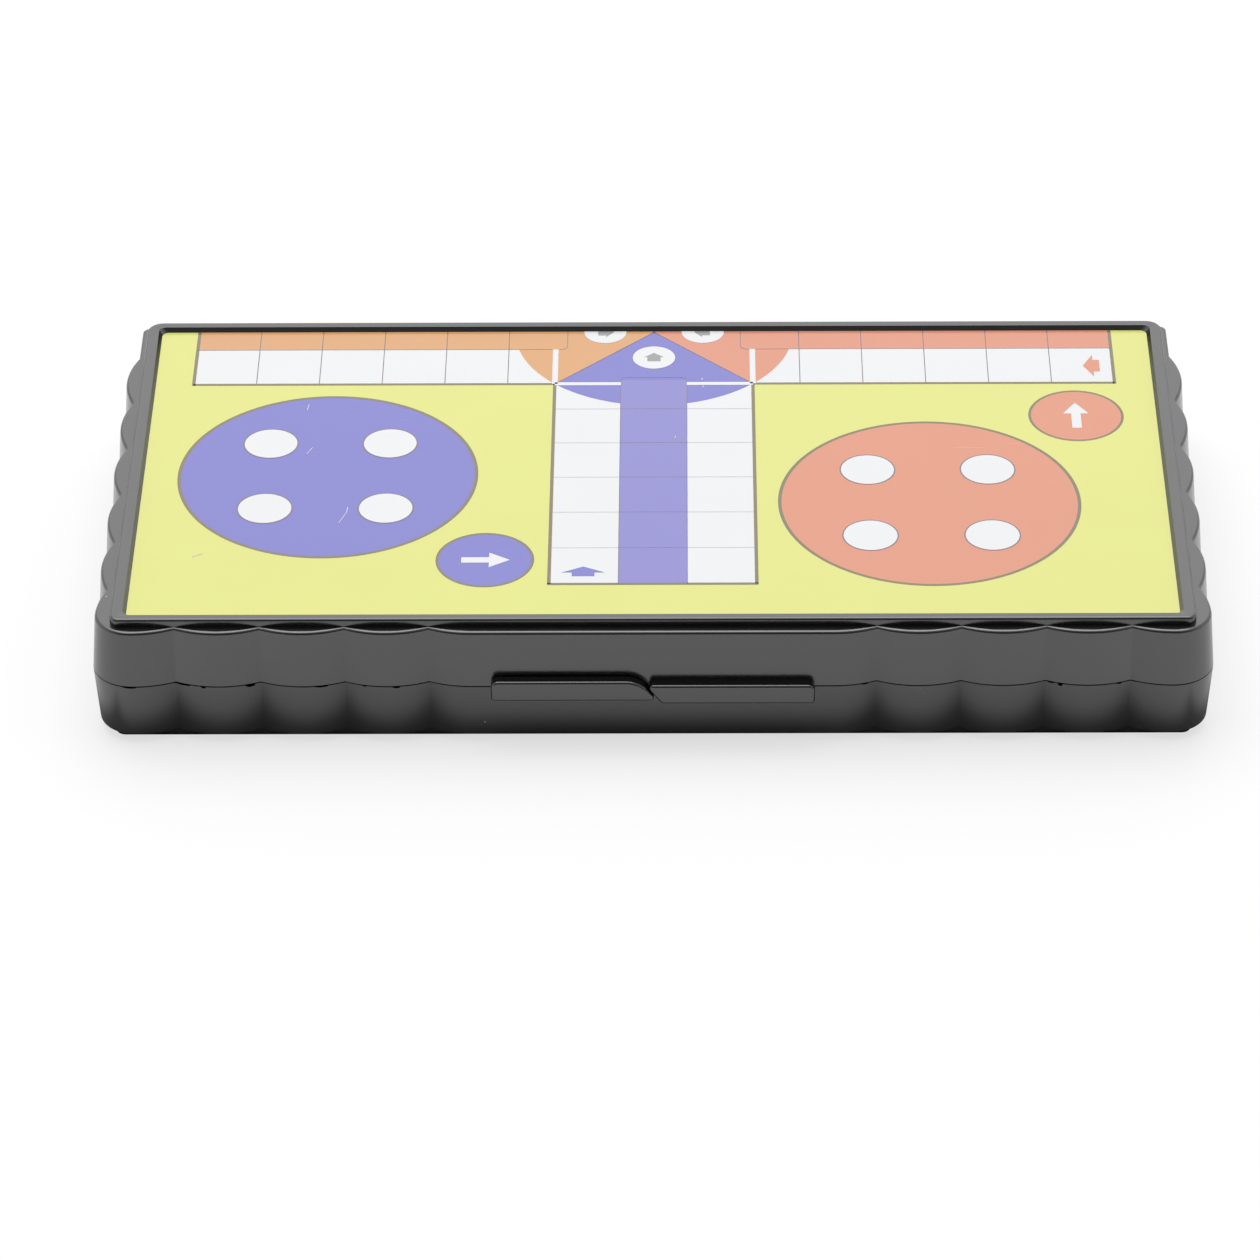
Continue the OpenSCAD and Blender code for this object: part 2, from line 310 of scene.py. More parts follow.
# Small specks of dust, as cells of which a few are kept
def dustGroup():
    tree, source, sink = groupTree(
        "dustSpecks",
        [("Vector", "NodeSocketVector", None), ("Cells", "NodeSocketFloat", 500.0),
         ("Keep", "NodeSocketFloat", 0.04)],
        [("Mask", "NodeSocketFloat")])
    cells = tree.nodes.new("ShaderNodeTexVoronoi")
    tree.links.new(source.outputs["Vector"], cells.inputs["Vector"])
    tree.links.new(source.outputs["Cells"], cells.inputs["Scale"])
    spot = steps(tree, cells.outputs["Distance"], 0.05, 0.10, 1.0, 0.0)
    split = tree.nodes.new("ShaderNodeSeparateColor")
    tree.links.new(cells.outputs["Color"], split.inputs["Color"])
    kept = mathNode(tree, "LESS_THAN", split.outputs["Red"], source.outputs["Keep"])
    tree.links.new(mathNode(tree, "MULTIPLY", spot, kept), sink.inputs["Mask"])
    return tree


# Slow wander of a value round 1, for moulded or printed surfaces
def driftGroup():
    tree, source, sink = groupTree(
        "slowDrift",
        [("Vector", "NodeSocketVector", None), ("Scale", "NodeSocketFloat", 30.0),
         ("Depth", "NodeSocketFloat", 0.1)],
        [("Factor", "NodeSocketFloat")])
    wander = tree.nodes.new("ShaderNodeTexNoise")
    tree.links.new(source.outputs["Vector"], wander.inputs["Vector"])
    tree.links.new(source.outputs["Scale"], wander.inputs["Scale"])
    wander.inputs["Detail"].default_value = 3
    centred = mathNode(tree, "SUBTRACT", wander.outputs["Fac"], 0.5)
    scaled = mathNode(tree, "MULTIPLY", centred, source.outputs["Depth"])
    tree.links.new(mathNode(tree, "ADD", scaled, 1.0), sink.inputs["Factor"])
    return tree


hairScratches = scratchGroup()
dustSpecks = dustGroup()
slowDrift = driftGroup()


def place(tree, group, vector, **values):
    node = tree.nodes.new("ShaderNodeGroup")
    node.node_tree = group
    tree.links.new(vector, node.inputs["Vector"])
    for label, value in values.items():
        node.inputs[label].default_value = value
    return node.outputs[0]


def mixColour(tree, factor, first, second):
    node = tree.nodes.new("ShaderNodeMix")
    node.data_type = "RGBA"
    tree.links.new(factor, node.inputs["Factor"])
    tree.links.new(first, node.inputs[6])
    node.inputs[7].default_value = (*second, 1)
    return node.outputs[2]


def scaled(tree, colour, factor):
    node = tree.nodes.new("ShaderNodeVectorMath")
    node.operation = "SCALE"
    node.inputs[0].default_value = colour
    tree.links.new(factor, node.inputs["Scale"])
    return node.outputs[0]


# A finish: colour that drifts, scratches, dust, and a roughness that follows them
wear = {"dustColour": (0.3, 0.3, 0.29), "scratchRough": 0.25, "roughDrift": 0.35, "roughScale": 2.3}


def finish(name, colour, rough, ior=1.5, metal=0.0, drift=0.08, driftScale=40.0, scratch=0.5,
           scratchColour=None, dust=0.0, grain=0.0, grainScale=3000.0):
    material = bpy.data.materials.new(name)
    material.use_nodes = True
    tree = material.node_tree
    shader = tree.nodes["Principled BSDF"]
    vector = tree.nodes.new("ShaderNodeTexCoord").outputs["Object"]
    factor = place(tree, slowDrift, vector, Scale=driftScale, Depth=drift)
    shown = scaled(tree, colour, factor)
    scratches = place(tree, hairScratches, vector, Amount=scratch)
    if scratchColour:
        shown = mixColour(tree, scratches, shown, scratchColour)
    if dust:
        specks = place(tree, dustSpecks, vector, Keep=dust)
        shown = mixColour(tree, specks, shown, wear["dustColour"])
    tree.links.new(shown, shader.inputs["Base Color"])
    roughDrift = place(tree, slowDrift, vector, Scale=driftScale * wear["roughScale"],
                       Depth=wear["roughDrift"])
    wander = mathNode(tree, "MULTIPLY", roughDrift, rough)
    worn = mathNode(tree, "MULTIPLY_ADD", scratches, wear["scratchRough"], wander)
    tree.links.new(worn, shader.inputs["Roughness"])
    shader.inputs["Metallic"].default_value = metal
    shader.inputs["IOR"].default_value = ior
    if grain:
        bump = tree.nodes.new("ShaderNodeBump")
        bump.inputs["Distance"].default_value = grain * mm
        tree.links.new(noise(tree, vector, grainScale), bump.inputs["Height"])
        tree.links.new(bump.outputs["Normal"], shader.inputs["Normal"])
    return material


plasticLook = {"colour": (0.0045, 0.0045, 0.005), "rough": 0.2, "ior": 1.9}
casePlastic = finish("casePlastic", plasticLook["colour"], plasticLook["rough"], plasticLook["ior"],
                     scratch=0.6, scratchColour=(0.035, 0.035, 0.034), dust=0.012, grain=0.006)
steel = finish("sheetSteel", (0.55, 0.55, 0.54), 0.3, metal=1.0, scratch=1.0)
pinSteel = finish("pinSteel", (0.62, 0.61, 0.6), 0.18, metal=1.0, scratch=0.6)
nickel = finish("magnetNickel", (0.66, 0.64, 0.6), 0.2, metal=1.0, scratch=0.8)

# Printing inks, as they would look with no shine on them
inkColours = {
    "yellow": (0.605, 0.62, 0.1),
    "white": (0.665, 0.673, 0.69),
    "blue": (0.087, 0.083, 0.457),
    "paleBlue": (0.135, 0.122, 0.47),
    "red": (0.589, 0.174, 0.07),
    "orange": (0.572, 0.244, 0.042),
    "green": (0.1, 0.42, 0.12),
    "olive": (0.11, 0.08, 0.0),
    "grey": (0.22, 0.22, 0.225),
    "paleGrey": (0.5, 0.5, 0.51),
    "plum": (0.1, 0.06, 0.09),
}
inkLook = {"rough": 0.16, "ior": 1.9}
inks = {name: finish("ink_" + name, colour, inkLook["rough"], inkLook["ior"], drift=0.05, driftScale=60,
                     scratch=0.12, scratchColour=(0.75, 0.75, 0.75), grain=0.003, grainScale=900.0)
        for name, colour in inkColours.items()}
inkOrder = list(inkColours)
print("finishes made")


# Mesh helpers
def linked(name, mesh):
    piece = bpy.data.objects.new(name, mesh)
    scene.collection.objects.link(piece)
    return piece


def fromBmesh(bm, name, materials, smoothAngle=None):
    bmesh.ops.recalc_face_normals(bm, faces=bm.faces)
    mesh = bpy.data.meshes.new(name)
    bm.to_mesh(mesh)
    bm.free()
    for material in materials:
        mesh.materials.append(material)
    if smoothAngle:
        mesh.shade_smooth()
        mesh.set_sharp_from_angle(angle=math.radians(smoothAngle))
    return linked(name, mesh)


# The modifiers' result, as a plain mesh on the same object
def settled(piece):
    graph = bpy.context.evaluated_depsgraph_get()
    graph.update()
    mesh = bpy.data.meshes.new_from_object(piece.evaluated_get(graph), preserve_all_data_layers=True,
                                           depsgraph=graph)
    piece.modifiers.clear()
    piece.data = mesh
    return piece


def weighted(piece, smoothAngle=32):
    piece.data.shade_smooth()
    piece.data.set_sharp_from_angle(angle=math.radians(smoothAngle))
    modifier = piece.modifiers.new("weighted", "WEIGHTED_NORMAL")
    modifier.keep_sharp = True
    modifier.weight = 90
    return settled(piece)


def bevelled(piece, width, segments, angle=30):
    modifier = piece.modifiers.new("bevel", "BEVEL")
    modifier.width = width * mm
    modifier.segments = segments
    modifier.limit_method = "ANGLE"
    modifier.angle_limit = math.radians(angle)
    modifier.use_clamp_overlap = True
    return settled(piece)


def cutWith(piece, tool):
    modifier = piece.modifiers.new("cut", "BOOLEAN")
    modifier.object = tool
    modifier.operation = "DIFFERENCE"
    modifier.solver = "EXACT"
    settled(piece)
    bpy.data.objects.remove(tool)


def ring(bm, points, z):
    return [bm.verts.new((x * mm, y * mm, z * mm)) for x, y in points]


def skin(bm, rings):
    for lower, upper in zip(rings, rings[1:]):
        count = len(lower)
        for i in range(count):
            j = (i + 1) % count
            bm.faces.new((lower[i], lower[j], upper[j], upper[i]))


# A solid between two loops
def capped(bm, loops):
    skin(bm, loops)
    bm.faces.new(loops[0])
    bm.faces.new(loops[1])


def between(bm, outer, inner):
    edges = []
    for loop in (outer, inner):
        for i in range(len(loop)):
            a, b = loop[i], loop[(i + 1) % len(loop)]
            edges.append(bm.edges.get((a, b)) or bm.edges.new((a, b)))
    bmesh.ops.triangle_fill(bm, edges=edges, use_beauty=True, use_dissolve=False)


def prism(bm, points, z0, z1, index):
    low = ring(bm, points, z0)
    high = ring(bm, points, z1)
    faces = [bm.faces.new(low[::-1]), bm.faces.new(high)]
    for i in range(len(low)):
        j = (i + 1) % len(low)
        faces.append(bm.faces.new((low[i], low[j], high[j], high[i])))
    for face in faces:
        face.material_index = index


# Angles of a quarter turn, in steps
def quarter(count):
    return [math.pi / 2 * i / count for i in range(count + 1)]


def arcPoints(cx, cy, radius, start, end, count):
    spread = [math.radians(start + (end - start) * i / count) for i in range(count + 1)]
    return [(cx + radius * math.cos(a), cy + radius * math.sin(a)) for a in spread]


def roundedRect(x0, x1, y0, y1, r, count=6, backRound=None):
    b = backRound or r
    points = []
    for cx, cy, radius, start in ((x1 - b, y1 - b, b, 0), (x0 + b, y1 - b, b, 90),
                                  (x0 + r, y0 + r, r, 180), (x1 - r, y0 + r, r, 270)):
        points += arcPoints(cx, cy, radius, start, start + 90, count)
    return points


# The scalloped outline. Every call gives the same count of points, so that rings at
# different insets join up.
scallop = {
    "height": 1.25,
    "frontWidth": 12.0,
    "frontCount": 3,
    "cornerRadius": 6.0,
    "cornerRunFront": 12.2,
    "cornerRunSide": 11.65,
    "plainRun": 8.6,
    "plainIn": 1.45,
    "backRound": 0.6,
    "backPoints": 4,
    "cornerPoints": 12,
    "pointsEach": 14,
}
sideRun = case["depth"] - scallop["plainRun"] - scallop["cornerRunSide"]
sideCount = round(sideRun / scallop["frontWidth"])
sideWidth = sideRun / sideCount


def scallopRadius(width):
    return (width * width / 4 + scallop["height"] ** 2) / (2 * scallop["height"])


def outline(inset):
    n = scallop["pointsEach"]
    corner = scallop["cornerRadius"]
    frontRadius = scallopRadius(scallop["frontWidth"])
    sideRadius = scallopRadius(sideWidth)
    sideStart = frontY + scallop["cornerRunSide"]

    def onSide(y, centre):
        return (halfWidth - sideRadius + math.sqrt((sideRadius - inset) ** 2 - (y - centre) ** 2), y)

    def onFront(x, centre):
        return (x, frontY + frontRadius - math.sqrt((frontRadius - inset) ** 2 - (x - centre) ** 2))

    plainX = halfWidth - scallop["plainIn"] - inset
    r = scallop["backRound"]
    half = arcPoints(plainX - r, backY - r, r, 90, 0, scallop["backPoints"])
    half.append((plainX, sideStart + sideRun))
    for k in reversed(range(sideCount)):
        centre = sideStart + (k + 0.5) * sideWidth
        high, low = centre + sideWidth / 2, centre - sideWidth / 2
        if k == 0:
            low = (centre + frontY + corner) / 2
        for i in range(n + 1):
            half.append(onSide(high + (low - high) * i / n, centre))
    for i in range(1, n // 2 + 1):
        half.append(onSide(low + (frontY + corner - low) * i / (n // 2), frontY + corner))
    half += arcPoints(halfWidth - corner, frontY + corner, corner - inset, 0, -90,
                      scallop["cornerPoints"])[1:]
    cornerX = halfWidth - corner
    notchX = halfWidth - scallop["cornerRunFront"]
    firstX = (cornerX + notchX - scallop["frontWidth"] / 2) / 2
    for i in range(1, n // 2):
        half.append(onFront(cornerX + (firstX - cornerX) * i / (n // 2), cornerX))
    for k in range(scallop["frontCount"]):
        centre = notchX - (k + 0.5) * scallop["frontWidth"]
        high = centre + scallop["frontWidth"] / 2 if k else firstX
        low = centre - scallop["frontWidth"] / 2
        for i in range(n + 1):
            half.append(onFront(high + (low - high) * i / n, centre))
    lastX = notchX - scallop["frontCount"] * scallop["frontWidth"]
    middle = lastX - scallop["frontWidth"] / 2
    for i in range(n // 2 + 1):
        half.append(onFront(lastX - scallop["frontWidth"] / 2 * i / (n // 2), middle))
    return half + [(-x, y) for x, y in reversed(half)]


# The moulded tray, rim down: a closed solid from nested rings
shell = {
    "edgeRound": 0.5,
    "draft": 0.6,
    "seamRound": 0.09,
    "floorRound": 1.0,
    "rimEdge": 0.42,
    "rimLean": 0.36,
    "rimBackRound": 2.2,
    "insideEdge": 0.15,
    "turn": 6,
    "floorTurn": 5,
    "rimTurn": 5,
}


def trayBody(bm):
    wallTop = seamZ - case["seamGap"] / 2
    ledge = case["rimRise"]
    draft = shell["draft"]
    rings = []
    r = shell["seamRound"]
    for a in quarter(3):
        rings.append(ring(bm, outline(r * (1 - math.sin(a))), wallTop - r * (1 - math.cos(a))))
    r = shell["edgeRound"]
    for a in quarter(shell["turn"]):
        rings.append(ring(bm, outline(draft + r * (1 - math.cos(a))), ledge + r * (1 - math.sin(a))))
    skin(bm, rings)
    bottom = bm.faces.new(rings[-1])
    hollows = []
    for inset, z in insideRings(wallTop):
        hollows.append(ring(bm, roundedRect(-hollowX + inset, hollowX - inset, hollowFront + inset,
                                            hollowBack - inset, case["hollowRound"], 8), z))
    skin(bm, hollows)
    between(bm, rings[0], hollows[0])
    floor = bm.faces.new(hollows[-1])
    bmesh.ops.triangulate(bm, faces=[bottom, floor])


def insideRings(wallTop):
    edge = shell["insideEdge"]
    yield -edge, wallTop
    yield -edge * 0.3, wallTop - edge * 0.3
    yield 0.0, wallTop - edge
    r = shell["floorRound"]
    for a in quarter(shell["floorTurn"]):
        yield 0.05 + r * (1 - math.cos(a)), floorZ + r * (1 - math.sin(a))


def rimBody(bm):
    e = shell["rimEdge"]
    foot = case["rimRise"] + 0.05
    arc = [(e * (1 - math.cos(a)), e * (1 - math.sin(a))) for a in quarter(shell["rimTurn"])]
    inner = (rimX - case["rimSide"], rimY + case["rimFront"], backY - case["wallBack"])

    def outside(t, z):
        return ring(bm, roundedRect(-rimX + t, rimX - t, rimY + t, backY - t, case["rimRound"] - t * 0.5,
                                    backRound=shell["rimBackRound"] - t * 0.5), z)

    def inside(t, z):
        x, y0, y1 = inner[0] + t, inner[1] - t, inner[2] + t
        return ring(bm, roundedRect(-x, x, y0, y1, case["rimRound"] - 0.3), z)

    lean = shell["rimLean"]
    rings = [outside(0, foot)] + [outside(t, z) for t, z in arc]
    rings += [inside(lean + 0.1, 0), inside(lean + 0.03, 0.03), inside(lean, 0.1)]
    rings += [inside(-0.12, case["rimRise"] - case["filmThick"] + 0.02), inside(-0.12, foot)]
    skin(bm, rings + rings[:1])


def hingeHoop(bm, x, radius, sides):
    return [bm.verts.new((x * mm, (hingeY + radius * math.cos(2 * math.pi * i / sides)) * mm,
                          (seamZ + radius * math.sin(2 * math.pi * i / sides)) * mm))
            for i in range(sides)]


def tube(bm, x0, x1, radius, hole, chamfer=0.15, sides=48):
    rings = [hingeHoop(bm, x, r, sides)
             for x, r in ((x0 + chamfer, radius), (x1 - chamfer, radius), (x1, radius - chamfer),
                          (x1, hole), (x0, hole), (x0, radius - chamfer))]
    skin(bm, rings + rings[:1])


def rodTool(x, radius, width, sides=64):
    bm = bmesh.new()
    capped(bm, [hingeHoop(bm, x + side * width / 2, radius, sides) for side in (-1, 1)])
    return fromBmesh(bm, "rodTool", [])


# Plan of the tongue, a strip along the front and both sides of the hollow
tongue = {"thick": 0.8, "rise": 1.2, "gap": 0.1, "end": 10.6}


def tonguePlan(grow, short):
    inner, outer = [], []
    stop = backY - short
    for offset, points in ((0, inner), (tongue["thick"] + grow, outer)):
        x = hollowX + offset
        y = hollowFront - offset
        r = case["hollowRound"] + offset
        points.append((x, stop))
        points += arcPoints(x - r, y + r, r, 0, -90, 8)
        points += arcPoints(-x + r, y + r, r, -90, -180, 8)
        points.append((-x, stop))
    return inner, outer


def tongueSolid(z0, z1, grow, short, chamfer=0.0):
    inner, outer = tonguePlan(grow, short)
    if grow:
        inner = [(x * (1 - 0.6 / hollowX), y + 0.5) for x, y in inner]
    bm = bmesh.new()
    count = len(inner)
    low = [ring(bm, inner, z0), ring(bm, outer, z0)]
    high = [ring(bm, inner, z1), ring(bm, outer, z1)]
    for i in range(count - 1):
        j = i + 1
        bm.faces.new((low[0][i], low[0][j], low[1][j], low[1][i]))
        bm.faces.new((high[0][i], high[0][j], high[1][j], high[1][i]))
        for side in (0, 1):
            bm.faces.new((low[side][i], low[side][j], high[side][j], high[side][i]))
    for i in (0, count - 1):
        bm.faces.new((low[0][i], low[1][i], high[1][i], high[0][i]))
    piece = fromBmesh(bm, "tongueTool", [casePlastic])
    return bevelled(piece, chamfer, 2) if chamfer else piece


hinge = {"knuckle": 6.0, "sideGap": 0.3, "clear": 0.3, "pin": 0.75}
hingeX = halfWidth - case["hingeInset"]
knuckleStep = hinge["knuckle"] + hinge["sideGap"]


# The thumb lips. Each is part of one tray and laps over the other tray's wall.
lips = {
    "halfWidth": 23.0,
    "slit": 0.25,
    "slitLean": 0.75,
    "slitShift": -0.35,
    "gap": 0.15,
    "root": 0.6,
    "edge": 0.42,
    "lowerTray": {"down": 1.45, "up": 1.8, "out": 1.7, "rounds": (0.5, 0.45, 4.0, 1.0)},
    "upperTray": {"down": 1.95, "up": 1.15, "out": 1.7, "rounds": (0.5, 0.5, 0.6, 1.0)},
}


# Corners of a closed outline rounded, one radius for each corner
def roundedPolygon(points, radii, count=6):
    result = []
    for i, radius in enumerate(radii):
        corner = Vector(points[i])
        toLast = (Vector(points[i - 1]) - corner).normalized()
        toNext = (Vector(points[(i + 1) % len(points)]) - corner).normalized()
        half = toLast.angle(toNext) / 2
        centre = corner + (toLast + toNext).normalized() * radius / math.sin(half)
        reach = radius / math.tan(half)
        start = corner + toLast * reach - centre
        end = corner + toNext * reach - centre
        turn = start.angle_signed(end)
        result += [tuple(centre + Matrix.Rotation(-turn * k / count, 2) @ start)
                   for k in range(count + 1)]
    return result


def thumbLip(name):
    values = lips[name]
    side = -1 if name == "lowerTray" else 1
    z0, z1 = seamZ - values["down"], seamZ + values["up"]

    def slitX(z):
        return lips["slitShift"] + lips["slitLean"] * (seamZ - z) + side * lips["slit"] / 2

    end = side * lips["halfWidth"]
    front = roundedPolygon([(end, z0), (slitX(z0), z0), (slitX(z1), z1), (end, z1)], values["rounds"])
    bm = bmesh.new()
    capped(bm, [[bm.verts.new((x * mm, y * mm, z * mm)) for x, z in front]
                for y in (frontY - values["out"], frontY + lips["root"])])
    piece = fromBmesh(bm, "thumbLip", [casePlastic])
    bevelled(piece, lips["edge"], 5, 60)
    return piece


# Small nicks in the lower tray's edge, where the seam stands open: middle, width, depth
nicks = [(-74.4, 2.6, 0.2), (-66.8, 3.0, 0.22), (-63.9, 0.9, 0.3), (-57.2, 1.7, 0.42), (-47.0, 2.4, 0.2),
         (-41.0, 0.7, 0.16), (-36.4, 1.4, 0.26), (30.2, 1.2, 0.14), (56.6, 1.3, 0.15), (57.9, 0.9, 0.42),
         (66.3, 1.0, 0.18)]


def nickTool():
    bm = bmesh.new()
    top = seamZ + 0.3
    for middle, width, deep in nicks:
        foot = seamZ - case["seamGap"] / 2 - deep
        shape = [(middle - width / 2, top), (middle - width * 0.42, foot + deep * 0.5),
                 (middle - width * 0.1, foot), (middle + width * 0.3, foot + deep * 0.2),
                 (middle + width / 2, top)]
        capped(bm, [[bm.verts.new((x * mm, (frontY + y) * mm, z * mm)) for x, z in shape]
                    for y in (-1, 1.75)])
    return fromBmesh(bm, "nickTool", [])


def boxTool(low, high):
    bm = bmesh.new()
    bmesh.ops.create_cube(bm, size=1)
    for v in bm.verts:
        v.co = Vector([(low[i] + (high[i] - low[i]) * (v.co[i] + 0.5)) * mm for i in range(3)])
    return fromBmesh(bm, "boxTool", [])


def turnedOver(piece):
    piece.data.transform(Matrix.Translation((0, 0, case["height"] * mm)) @ Matrix.Scale(-1, 4, (0, 0, 1)))
    piece.data.flip_normals()
    return piece


def joined(name, pieces):
    bm = bmesh.new()
    for piece in pieces:
        bm.from_mesh(piece.data)
    mesh = bpy.data.meshes.new(name)
    bm.to_mesh(mesh)
    bm.free()
    mesh.materials.append(casePlastic)
    for piece in pieces:
        bpy.data.objects.remove(piece)
    return linked(name, mesh)


def makeTray(name, upper):
    bm = bmesh.new()
    trayBody(bm)
    body = fromBmesh(bm, name + "Body", [casePlastic])
    bm = bmesh.new()
    rimBody(bm)
    rim = fromBmesh(bm, name + "Rim", [casePlastic])
    if upper:
        turnedOver(body)
        turnedOver(rim)
    own, other = ((0,), (-1, 1)) if upper else ((-1, 1), (0,))
    for s in (-1, 1):
        for k in other:
            cutWith(body, rodTool(s * hingeX + k * knuckleStep, case["knuckleRadius"] + hinge["clear"],
                                  hinge["knuckle"] + 2 * hinge["sideGap"]))
    parts = [rim]
    gap = lips["gap"]
    lip = thumbLip(name)
    if upper:
        cutWith(body, tongueSolid(seamZ - 1, seamZ + tongue["rise"] + tongue["gap"], tongue["gap"],
                                  tongue["end"] - tongue["gap"]))
        cutWith(lip, boxTool((-40, frontY - gap, 0), (40, frontY + 5, seamZ + case["seamGap"] / 2)))
    else:
        cutWith(body, nickTool())
        parts.append(tongueSolid(seamZ - 2, seamZ + tongue["rise"], 0.0, tongue["end"], 0.15))
        cutWith(lip, boxTool((-40, frontY - gap, seamZ - case["seamGap"] / 2), (40, frontY + 5, 30)))
    parts.append(lip)
    bm = bmesh.new()
    hole = hinge["pin"] + (0.05 if upper else 0.0)
    for s in (-1, 1):
        for k in own:
            x = s * hingeX + k * knuckleStep
            tube(bm, x - hinge["knuckle"] / 2, x + hinge["knuckle"] / 2, case["knuckleRadius"], hole)
    parts.append(fromBmesh(bm, "knuckles", [casePlastic]))
    whole = joined(name, [body] + parts)
    return weighted(whole)


lowerTray = makeTray("lowerTray", False)
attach(lowerTray, "lower_half")
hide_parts("lower_case")
upperTray = makeTray("upperTray", True)
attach(upperTray, "upper_half")
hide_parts("upper_case")
print("trays made:", len(lowerTray.data.polygons), len(upperTray.data.polygons), "faces")


# Geometry Nodes trees: named inputs, and the result as one plain mesh
def geometryTree(name, **inputs):
    tree = bpy.data.node_groups.new(name, "GeometryNodeTree")
    tree.interface.new_socket(name="Geometry", in_out="INPUT", socket_type="NodeSocketGeometry")
    for label, kind in (*inputs.items(), ("Material", "Material")):
        tree.interface.new_socket(name=label, in_out="INPUT", socket_type="NodeSocket" + kind)
    tree.interface.new_socket(name="Geometry", in_out="OUTPUT", socket_type="NodeSocketGeometry")
    return tree, tree.nodes.new("NodeGroupInput"), tree.nodes.new("NodeGroupOutput")


def stampPoints(tree, source, sink, points, stamp):
    stamps = tree.nodes.new("GeometryNodeInstanceOnPoints")
    real = tree.nodes.new("GeometryNodeRealizeInstances")
    paint = tree.nodes.new("GeometryNodeSetMaterial")
    tree.links.new(points, stamps.inputs["Points"])
    tree.links.new(stamp, stamps.inputs["Instance"])
    tree.links.new(stamps.outputs[0], real.inputs[0])
    tree.links.new(real.outputs[0], paint.inputs[0])
    tree.links.new(source.outputs["Material"], paint.inputs["Material"])
    tree.links.new(paint.outputs[0], sink.inputs[0])


# A row of thin bars, one step apart
def lineRowTree():
    tree, source, sink = geometryTree("lineRow", Count="Int", Start="Vector", Step="Vector", Size="Vector")
    row = tree.nodes.new("GeometryNodeMeshLine")
    row.mode = "OFFSET"
    bar = tree.nodes.new("GeometryNodeMeshCube")
    for label, socket in (("Count", row.inputs["Count"]), ("Start", row.inputs["Start Location"]),
                          ("Step", row.inputs["Offset"]), ("Size", bar.inputs["Size"])):
        tree.links.new(source.outputs[label], socket)
    stampPoints(tree, source, sink, row.outputs["Mesh"], bar.outputs["Mesh"])
    return tree


# Round marks on a grid
def pinMarkTree():
    tree, source, sink = geometryTree("pinMarks", Columns="Int", Rows="Int", Width="Float", Depth="Float",
                                      Centre="Vector", Radius="Float", Height="Float")
    grid = tree.nodes.new("GeometryNodeMeshGrid")
    move = tree.nodes.new("GeometryNodeTransform")
    disc = tree.nodes.new("GeometryNodeMeshCylinder")
    disc.inputs["Vertices"].default_value = 36
    for label, socket in (("Columns", grid.inputs["Vertices X"]), ("Rows", grid.inputs["Vertices Y"]),
                          ("Width", grid.inputs["Size X"]), ("Depth", grid.inputs["Size Y"]),
                          ("Centre", move.inputs["Translation"]), ("Radius", disc.inputs["Radius"]),
                          ("Height", disc.inputs["Depth"])):
        tree.links.new(source.outputs[label], socket)
    tree.links.new(grid.outputs["Mesh"], move.inputs["Geometry"])
    stampPoints(tree, source, sink, move.outputs["Geometry"], disc.outputs["Mesh"])
    return tree


def grown(name, tree, **values):
    piece = linked(name, bpy.data.meshes.new(name))
    modifier = piece.modifiers.new("tree", "NODES")
    modifier.node_group = tree
    for item in tree.interface.items_tree:
        if item.in_out == "INPUT" and item.name in values:
            modifier[item.identifier] = values[item.name]
    return settled(piece)


pins = {"columns": 3, "rows": 2, "width": 44.0, "depth": 42.0, "middle": 37.0, "radius": 2.0, "rise": 0.1}
pinMarks = pinMarkTree()


def makePinMarks(name, body, upper):
    z = (case["height"] - floorZ) if upper else floorZ
    middle = (pins["middle"] * mm, (hollowFront + hollowBack) / 2 * mm, z * mm)
    piece = grown(name, pinMarks, Columns=pins["columns"], Rows=pins["rows"], Width=pins["width"] * mm,
                  Depth=pins["depth"] * mm, Centre=middle, Radius=pins["radius"] * mm,
                  Height=2 * pins["rise"] * mm, Material=casePlastic)
    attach(piece, body)


makePinMarks("lowerPinMarks", "lower_half", False)
makePinMarks("upperPinMarks", "upper_half", True)
print("pin marks made")


# The board's print, in millimetres from the middle of the whole board. One arm and one
# base are drawn and turned by quarter turns.
board = {
    "armHalf": 14.87,
    "armLength": 69.13,
    "cell": 9.435,
    "cells": 6,
    "columnEnd": 13.1,
    "baseCentre": (-47.78, -40.26),
    "baseRadius": 21.83,
    "spotOffset": 8.82,
    "spotRadius": 4.0,
    "startCentre": (-24.17, -62.85),
    "startRadius": 6.9,
    "homeCentre": 7.4,
    "homeRadius": 3.2,
    "barThick": 0.84,
    "outlineWidth": 0.5,
    "startLine": 0.4,
    "spotLine": 0.2,
    "fineLine": 0.13,
    "hairLine": 0.09,
    "layer": 0.006,
    "arrowX": -10.0,
    "arrowTip": -64.64,
    "arrowWing": -66.17,
    "arrowFoot": -67.13,
    "arrowHalf": 3.08,
    "arrowShaft": 1.63,
}
filmBack = backY - case["wallBack"] - case["filmGap"]
filmTop = case["height"] - case["rimRise"] + case["filmThick"]


def clipFar(points, limit):
    kept = []
    for i, (x, y) in enumerate(points):
        px, py = points[i - 1]
        if (y <= limit) != (py <= limit):
            t = (limit - py) / (y - py)
            kept.append((px + (x - px) * t, limit))
        if y <= limit:
            kept.append((x, y))
    return kept


